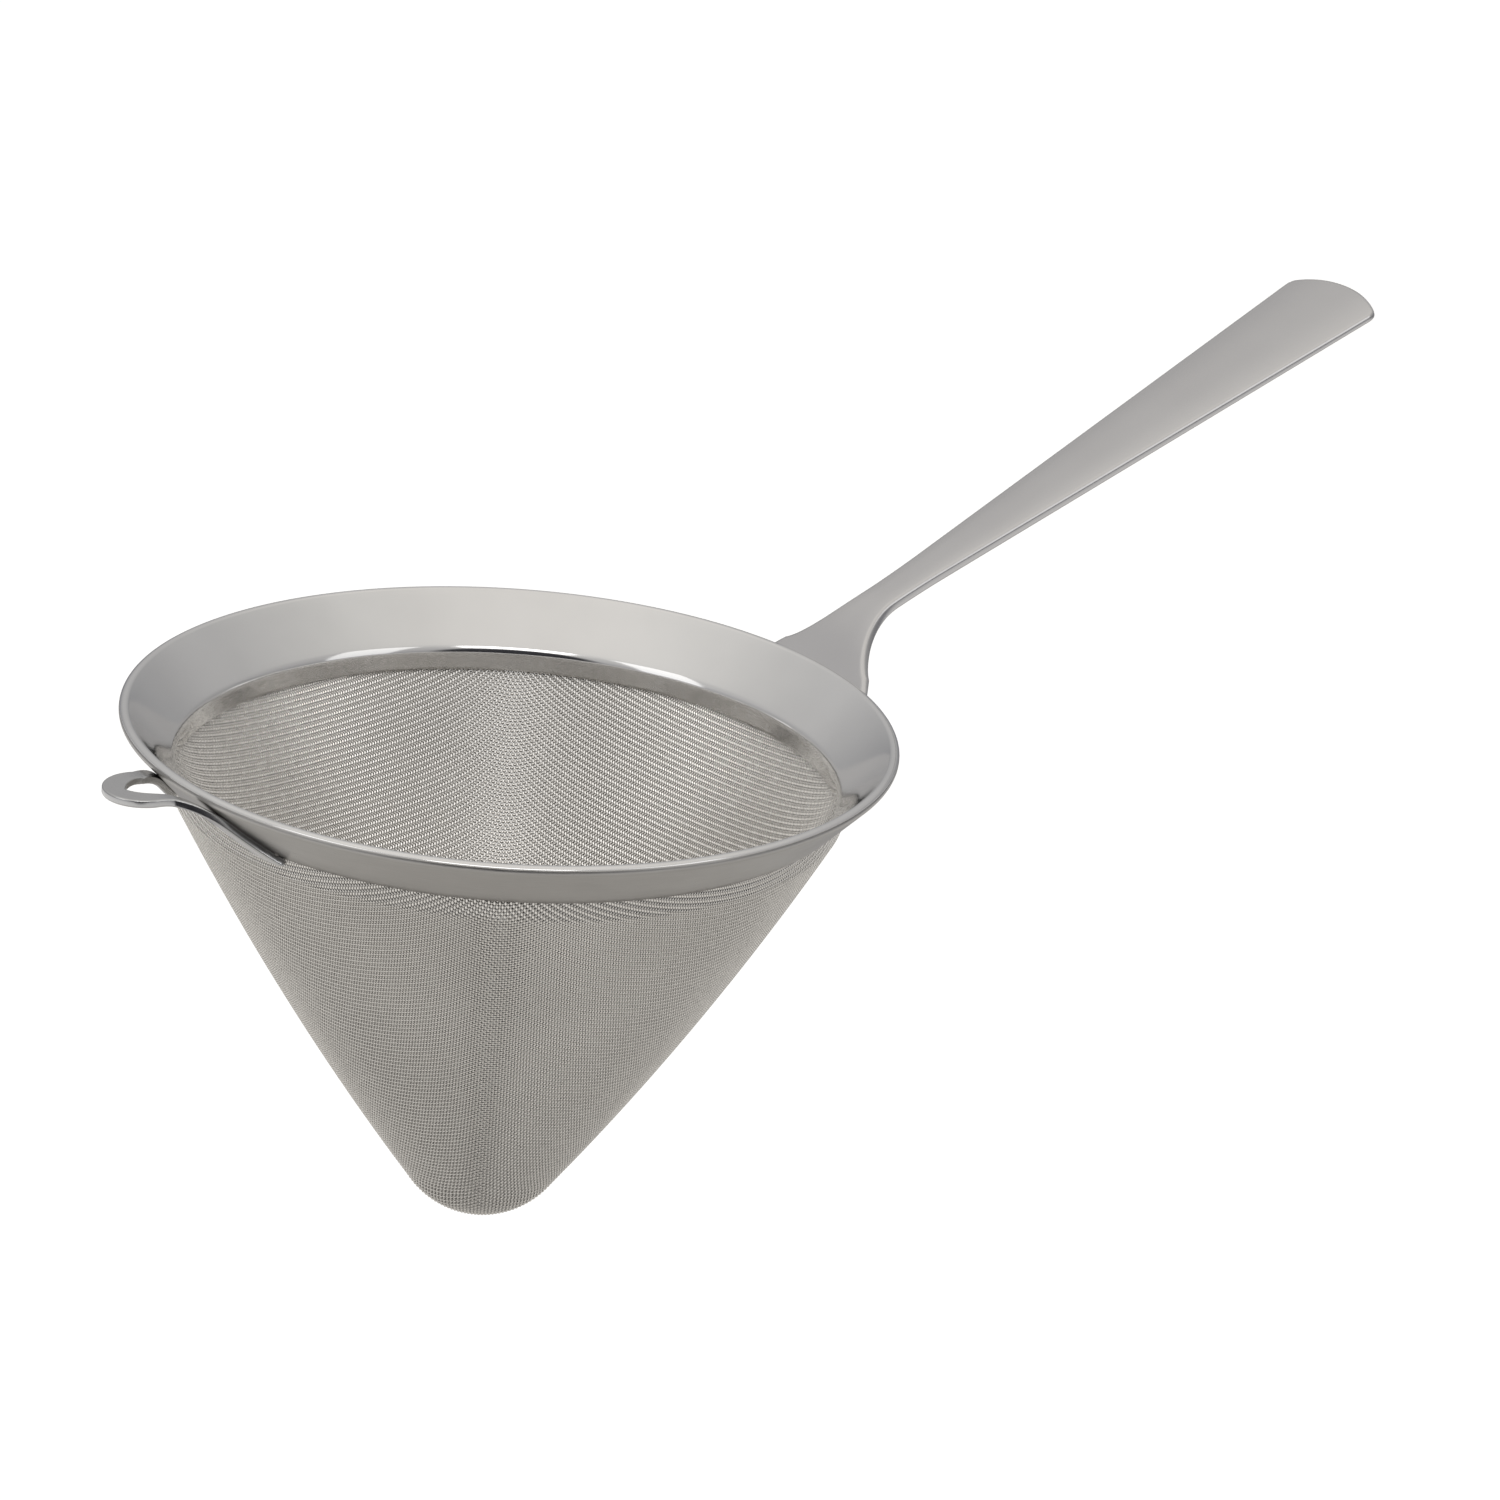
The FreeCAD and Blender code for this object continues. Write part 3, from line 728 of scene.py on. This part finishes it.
def handle_line():
    """Top face of the handle from its tab under the rim up to its end: (radius, z) points."""
    tab = wall(2 * LIP, TAB_END)
    lift = wall(2 * LIP, -ROOT_LIFT)
    steep = (lift[0] + ROOT_STEEP * math.cos(ROOT_RISE), lift[1] + ROOT_STEEP * math.sin(ROOT_RISE))
    centre = (steep[0] + ROOT_BEND * math.sin(ROOT_RISE), steep[1] - ROOT_BEND * math.cos(ROOT_RISE))
    sweep = arc(centre, ROOT_BEND, math.pi / 2 + ROOT_RISE, math.pi / 2 + HANDLE_RISE, 24)
    rest = HANDLE_TIP + SPARE - sweep[-1][0]
    end = (HANDLE_TIP + SPARE, sweep[-1][1] + rest * math.tan(HANDLE_RISE))
    return [tab, lift, *sweep, end]


# Distance from the axis and half width there, for the crown.
HALF_WIDTHS = [(50 * MM, 9.4 * MM), (54 * MM, 5.2 * MM), (WAIST_AT, WAIST_HALF),
               (TAPER_AT, TAPER_HALF), (HANDLE_TIP - 3 * MM, END_HALF)]


def half_width(x):
    """Half width of the handle at a distance from the axis."""
    return np.interp(x, *zip(*HALF_WIDTHS))


def handle_top(depth, flat):
    across = np.abs(flat[:, 1]) / half_width(flat[:, 0])
    crown = -CROWN * half_width(flat[:, 0]) * np.minimum(across, 1.05) ** 3
    return crown + rounded(depth, HANDLE_EDGE)


def handle_bottom(depth, flat):
    return -HANDLE_GAUGE - rounded(depth, HANDLE_UNDER_EDGE)


satin = satin_steel("satin_handle", (0.62, 0.612, 0.612), (300, 9000, 9000))
handle_fold = bent(handle_line(), STRAIGHT_FROM, STRAIGHT_BY)
handle_strip = strip("handle_strip", outline(HANDLE_OUTLINE), handle_fold, handle_top, handle_bottom,
                     HANDLE_EDGE)
put(handle_strip, "handle", satin)

LOOP_GAUGE = 1.0 * MM
LOOP_TOP = -0.3 * MM                # height of the level part
LOOP_BEND = 9.9 * MM                # radius of the bend from the rim's slope to level
LOOP_HALF = 4.9 * MM                # half width, and radius of the round nose
LOOP_EDGE = 0.22 * MM
FOOT_AT, FOOT_OUT, FOOT_IN = 42.0 * MM, 14.0 * MM, 11.3 * MM    # the arms' ends
FOOT_REACH = 8.2 * MM               # reach of the arms' lower ends

LOOP_OUTLINE = [
    (LOOP_TIP, 0.0, LOOP_HALF, 1),
    (LOOP_TIP - LOOP_HALF, LOOP_HALF),
    (LOOP_TIP - LOOP_HALF - 1.5 * MM, LOOP_HALF + 0.15 * MM, 40 * MM, -1),
    (FOOT_AT, FOOT_OUT),
    (FOOT_AT, FOOT_IN, 40 * MM, 1),
    (LOOP_TIP - 7.0 * MM, 3.0 * MM, 5 * MM, -1),
    (LOOP_TIP - 2.6 * MM, 0.0),
]


def loop_line():
    """Top face of the loop from its feet under the rim out to its nose: (radius, z) points."""
    knee_reach = (wall(2 * LIP, 0)[1] - LOOP_TOP) / math.sin(SLOPE)
    knee = wall(2 * LIP, knee_reach)[0]
    reach = math.tan(SLOPE / 2) * LOOP_BEND
    turn = arc((knee + reach, LOOP_TOP - LOOP_BEND), LOOP_BEND, math.pi / 2 + SLOPE, math.pi / 2, 24)
    return [wall(2 * LIP, FOOT_REACH), *turn, (LOOP_TIP + SPARE, LOOP_TOP)]


def loop_top(depth, flat):
    return rounded(depth, LOOP_EDGE)


def loop_bottom(depth, flat):
    return -LOOP_GAUGE - rounded(depth, LOOP_EDGE)


loop_plate = strip("loop_plate", outline(LOOP_OUTLINE), bent(loop_line()), loop_top, loop_bottom,
                   LOOP_EDGE)
loop_plate.data.transform(Matrix.Rotation(math.pi, 4, "Z"))
loop_finish = satin_steel("loop_steel", (0.56, 0.56, 0.56), (2500, 2500, 2500))
put(loop_plate, "hanging_loop", loop_finish)


# ---- welds -----------------------------------------------------------------------------------------
WELD_LEG = 0.62 * MM                # size of a bead
FOOT_WELD_SIDE, FOOT_WELD_RADIUS = 11.9 * MM, 45.0 * MM     # where the loop's two welds are
TAB_WELD_REACH, FOOT_WELD_REACH = 5.95 * MM, 7.15 * MM
TAB_WELD_HALF, FOOT_WELD_HALF = math.radians(8.5), math.radians(1.9)


def weld(name, node, azimuth, half_angle, reach, seed):
    """Lumpy fillet bead along the rim's outside, between the rim and the end of a strip."""
    steps, sides = 60, 10
    random = np.random.default_rng(seed)
    wave = np.convolve(random.uniform(0.8, 1.15, steps + 9), np.ones(9) / 9, "valid")[:steps + 1]
    ripple = 1 + 0.05 * np.cos(np.arange(steps + 1) * 1.9)
    points, faces = [], []
    for k in range(steps + 1):
        turn = 2 * k / steps - 1
        size = WELD_LEG * wave[k] * ripple[k] * max(0.08, 1 - turn ** 4) ** 0.5
        angle = azimuth + half_angle * turn
        for t in np.linspace(-0.5, 1.0, sides) * math.pi:
            along = -0.15 * size + 0.85 * size * max(0.0, math.cos(t))
            proud = 0.55 * size * max(0.0, math.sin(t))
            radius, z = wall(2 * LIP - PLAY + proud, reach + along)
            points.append((radius * math.cos(angle), radius * math.sin(angle), z))
    for k in range(steps):
        for m in range(sides):
            n = (m + 1) % sides
            faces.append((k * sides + m, k * sides + n, (k + 1) * sides + n, (k + 1) * sides + m))
    faces += [tuple(range(sides)), tuple(range(steps * sides, (steps + 1) * sides))[::-1]]
    piece = mesh_object(name, points, faces)
    put(piece, node, weld_metal)


weld_metal = weld_steel()
weld("tab_weld", "handle_welds", 0.0, TAB_WELD_HALF, TAB_WELD_REACH, 3)
foot_azimuth = math.asin(FOOT_WELD_SIDE / FOOT_WELD_RADIUS)
for name, side, seed in (("foot_weld_left", -1, 5), ("foot_weld_right", 1, 7)):
    weld(name, "loop_welds", math.pi + side * foot_azimuth, FOOT_WELD_HALF, FOOT_WELD_REACH, seed)


# ---- floor, light and camera ----------------------------------------------------------------------
FLOOR_Z = -0.20
FLOOR_REACH = 6                     # half the floor's width
FLOOR_TONE = 0.93
FLOOR_SHADE = 0.995                 # how much darker its cloudy parts are
FLOOR_GLOW = 0.42                   # the floor is lit from within, like a light table


def pale_floor():
    """Matt white with the slightest cloudiness."""
    made = Shader("pale_floor", metallic=0.0)
    cloud = made.noise(made.stretched((1, 1, 1)), 3.0)
    dark, light = (FLOOR_TONE * FLOOR_SHADE,) * 3, (FLOOR_TONE,) * 3
    made.join(made.ramp(cloud, [(0.3, dark), (0.7, light)]), "Base Color")
    made.shader.inputs["Roughness"].default_value = 0.9
    made.shader.inputs["Emission Color"].default_value = (1, 1, 1, 1)
    made.shader.inputs["Emission Strength"].default_value = FLOOR_GLOW
    return made.material


def panel(name, azimuth, elevation, size, power):
    """Soft rectangular lamp, a metre away and aimed at the rim's centre."""
    centre = around(azimuth, elevation, 1.0)
    lamp = bpy.data.lights.new(name, "AREA")
    lamp.shape = "RECTANGLE"
    lamp.size, lamp.size_y = size
    lamp.energy = power
    made = bpy.data.objects.new(name, lamp)
    made.location = centre
    made.rotation_mode = "QUATERNION"
    made.rotation_quaternion = (-centre).to_track_quat("-Z", "Y")
    bpy.context.scene.collection.objects.link(made)


floor_edge = [(-FLOOR_REACH, -FLOOR_REACH, FLOOR_Z), (FLOOR_REACH, -FLOOR_REACH, FLOOR_Z),
              (FLOOR_REACH, FLOOR_REACH, FLOOR_Z), (-FLOOR_REACH, FLOOR_REACH, FLOOR_Z)]
floor = mesh_object("floor", floor_edge, [(0, 1, 2, 3)])
floor.data.materials.append(pale_floor())
floor.visible_glossy = False        # the steel mirrors the grey studio instead of the floor

CAMERA_AZIMUTH, CAMERA_ELEVATION, CAMERA_DISTANCE = -125.8, 20.86, 0.6041
CAMERA_TILT = math.radians(5.135)
CAMERA_AIM = Vector((0.02112, -0.02280, 0.0))
SENSOR, FOCAL_LENGTH = 36.0, 113.11     # millimetres, as Blender wants them
lens = bpy.data.cameras.new("camera")
lens.sensor_width = SENSOR
lens.lens = FOCAL_LENGTH
camera = bpy.data.objects.new("camera", lens)
camera.location = around(CAMERA_AZIMUTH, CAMERA_ELEVATION, CAMERA_DISTANCE)
looking = (CAMERA_AIM - camera.location).to_track_quat("-Z", "Y")
camera.rotation_mode = "QUATERNION"
camera.rotation_quaternion = looking @ Quaternion((0, 0, 1), CAMERA_TILT)
bpy.context.scene.collection.objects.link(camera)
bpy.context.scene.camera = camera


# The studio's light by height above the horizon, in degrees.
SKY = [(-90, (0.64, 0.62, 0.59)), (-40, (0.70, 0.685, 0.66)), (-23, (0.98, 0.965, 0.95)),
       (-14, (0.72, 0.715, 0.71)), (-8, (0.28, 0.28, 0.30)), (-2, (0.30, 0.30, 0.315)),
       (4, (0.38, 0.38, 0.385)),
       (25, (0.58, 0.573, 0.57)), (33, (0.60, 0.593, 0.586)), (41, (0.67, 0.66, 0.648)),
       (55, (0.82, 0.805, 0.78)), (68, (0.91, 0.885, 0.85))]
# Nearness to the middle of the dark room behind the camera, and how much light is left there.
DARK = [(0.86, (1, 1, 1)), (0.91, (0.08, 0.08, 0.09))]
DARK_RISE = 8
# The same for the duller ground behind the strainer.
GROUND = [(0.88, (1, 1, 1)), (0.96, (0.42, 0.42, 0.46))]
GROUND_RISE = -20
LEFT_GAIN = (0.86, 1.06)            # light at the far right and the far left of the camera


def studio(camera_azimuth):
    """World: bright overhead, dark at the horizon, behind the camera and far behind the object."""
    world = bpy.data.worlds.new("studio")
    world.use_nodes = True
    tree = world.node_tree
    add, link = tree.nodes.new, tree.links.new
    coordinates = add("ShaderNodeTexCoord")

    def toward(direction, low, high):
        """How far a direction lies along this one, as low to high."""
        dot = add("ShaderNodeVectorMath")
        dot.operation = "DOT_PRODUCT"
        link(coordinates.outputs["Generated"], dot.inputs[0])
        dot.inputs[1].default_value = direction
        made = add("ShaderNodeMapRange")
        made.inputs["From Min"].default_value = -1.0
        made.inputs["To Min"].default_value = low
        made.inputs["To Max"].default_value = high
        link(dot.outputs["Value"], made.inputs["Value"])
        return made.outputs["Result"]

    def ramp(factor, stops):
        made = add("ShaderNodeValToRGB")
        link(factor, made.inputs["Fac"])
        for k, (place, colour) in enumerate(stops):
            stop = made.color_ramp.elements[k] if k < 2 else made.color_ramp.elements.new(place)
            stop.position = place
            stop.color = (*colour, 1)
        return made.outputs["Color"]

    def times(a, b):
        made = add("ShaderNodeVectorMath")
        made.operation = "MULTIPLY"
        link(a, made.inputs[0])
        link(b, made.inputs[1])
        return made.outputs["Vector"]

    sky = ramp(toward((0, 0, 1), 0, 1),
               [((math.sin(math.radians(rise)) + 1) / 2, colour) for rise, colour in SKY])
    dark = ramp(toward(around(camera_azimuth, DARK_RISE, 1.0), -1, 1), DARK)
    ground = ramp(toward(around(camera_azimuth + 180, GROUND_RISE, 1.0), -1, 1), GROUND)
    left = toward(around(camera_azimuth - 90, 0, 1.0), *LEFT_GAIN)
    light = times(times(sky, dark), times(ground, left))
    link(light, tree.nodes["Background"].inputs["Color"])
    bpy.context.scene.world = world


studio(CAMERA_AZIMUTH)
bpy.context.scene.view_settings.view_transform = "Standard"

# Lamps: degrees to the side of the camera, degrees up, width and height in metres, and watts.
SIDE_TURN, SIDE_RISE, SIDE_SIZE = 58, 28, (0.45, 0.7)
FRONT_RISE, FRONT_SIZE = 46, (0.6, 0.3)
LEFT_POWER, RIGHT_POWER, FRONT_POWER = 0.7, 0.6, 1.0
panel("left_light", CAMERA_AZIMUTH - SIDE_TURN, SIDE_RISE, SIDE_SIZE, LEFT_POWER)
panel("right_light", CAMERA_AZIMUTH + SIDE_TURN, SIDE_RISE, SIDE_SIZE, RIGHT_POWER)
panel("front_light", CAMERA_AZIMUTH, FRONT_RISE, FRONT_SIZE, FRONT_POWER)
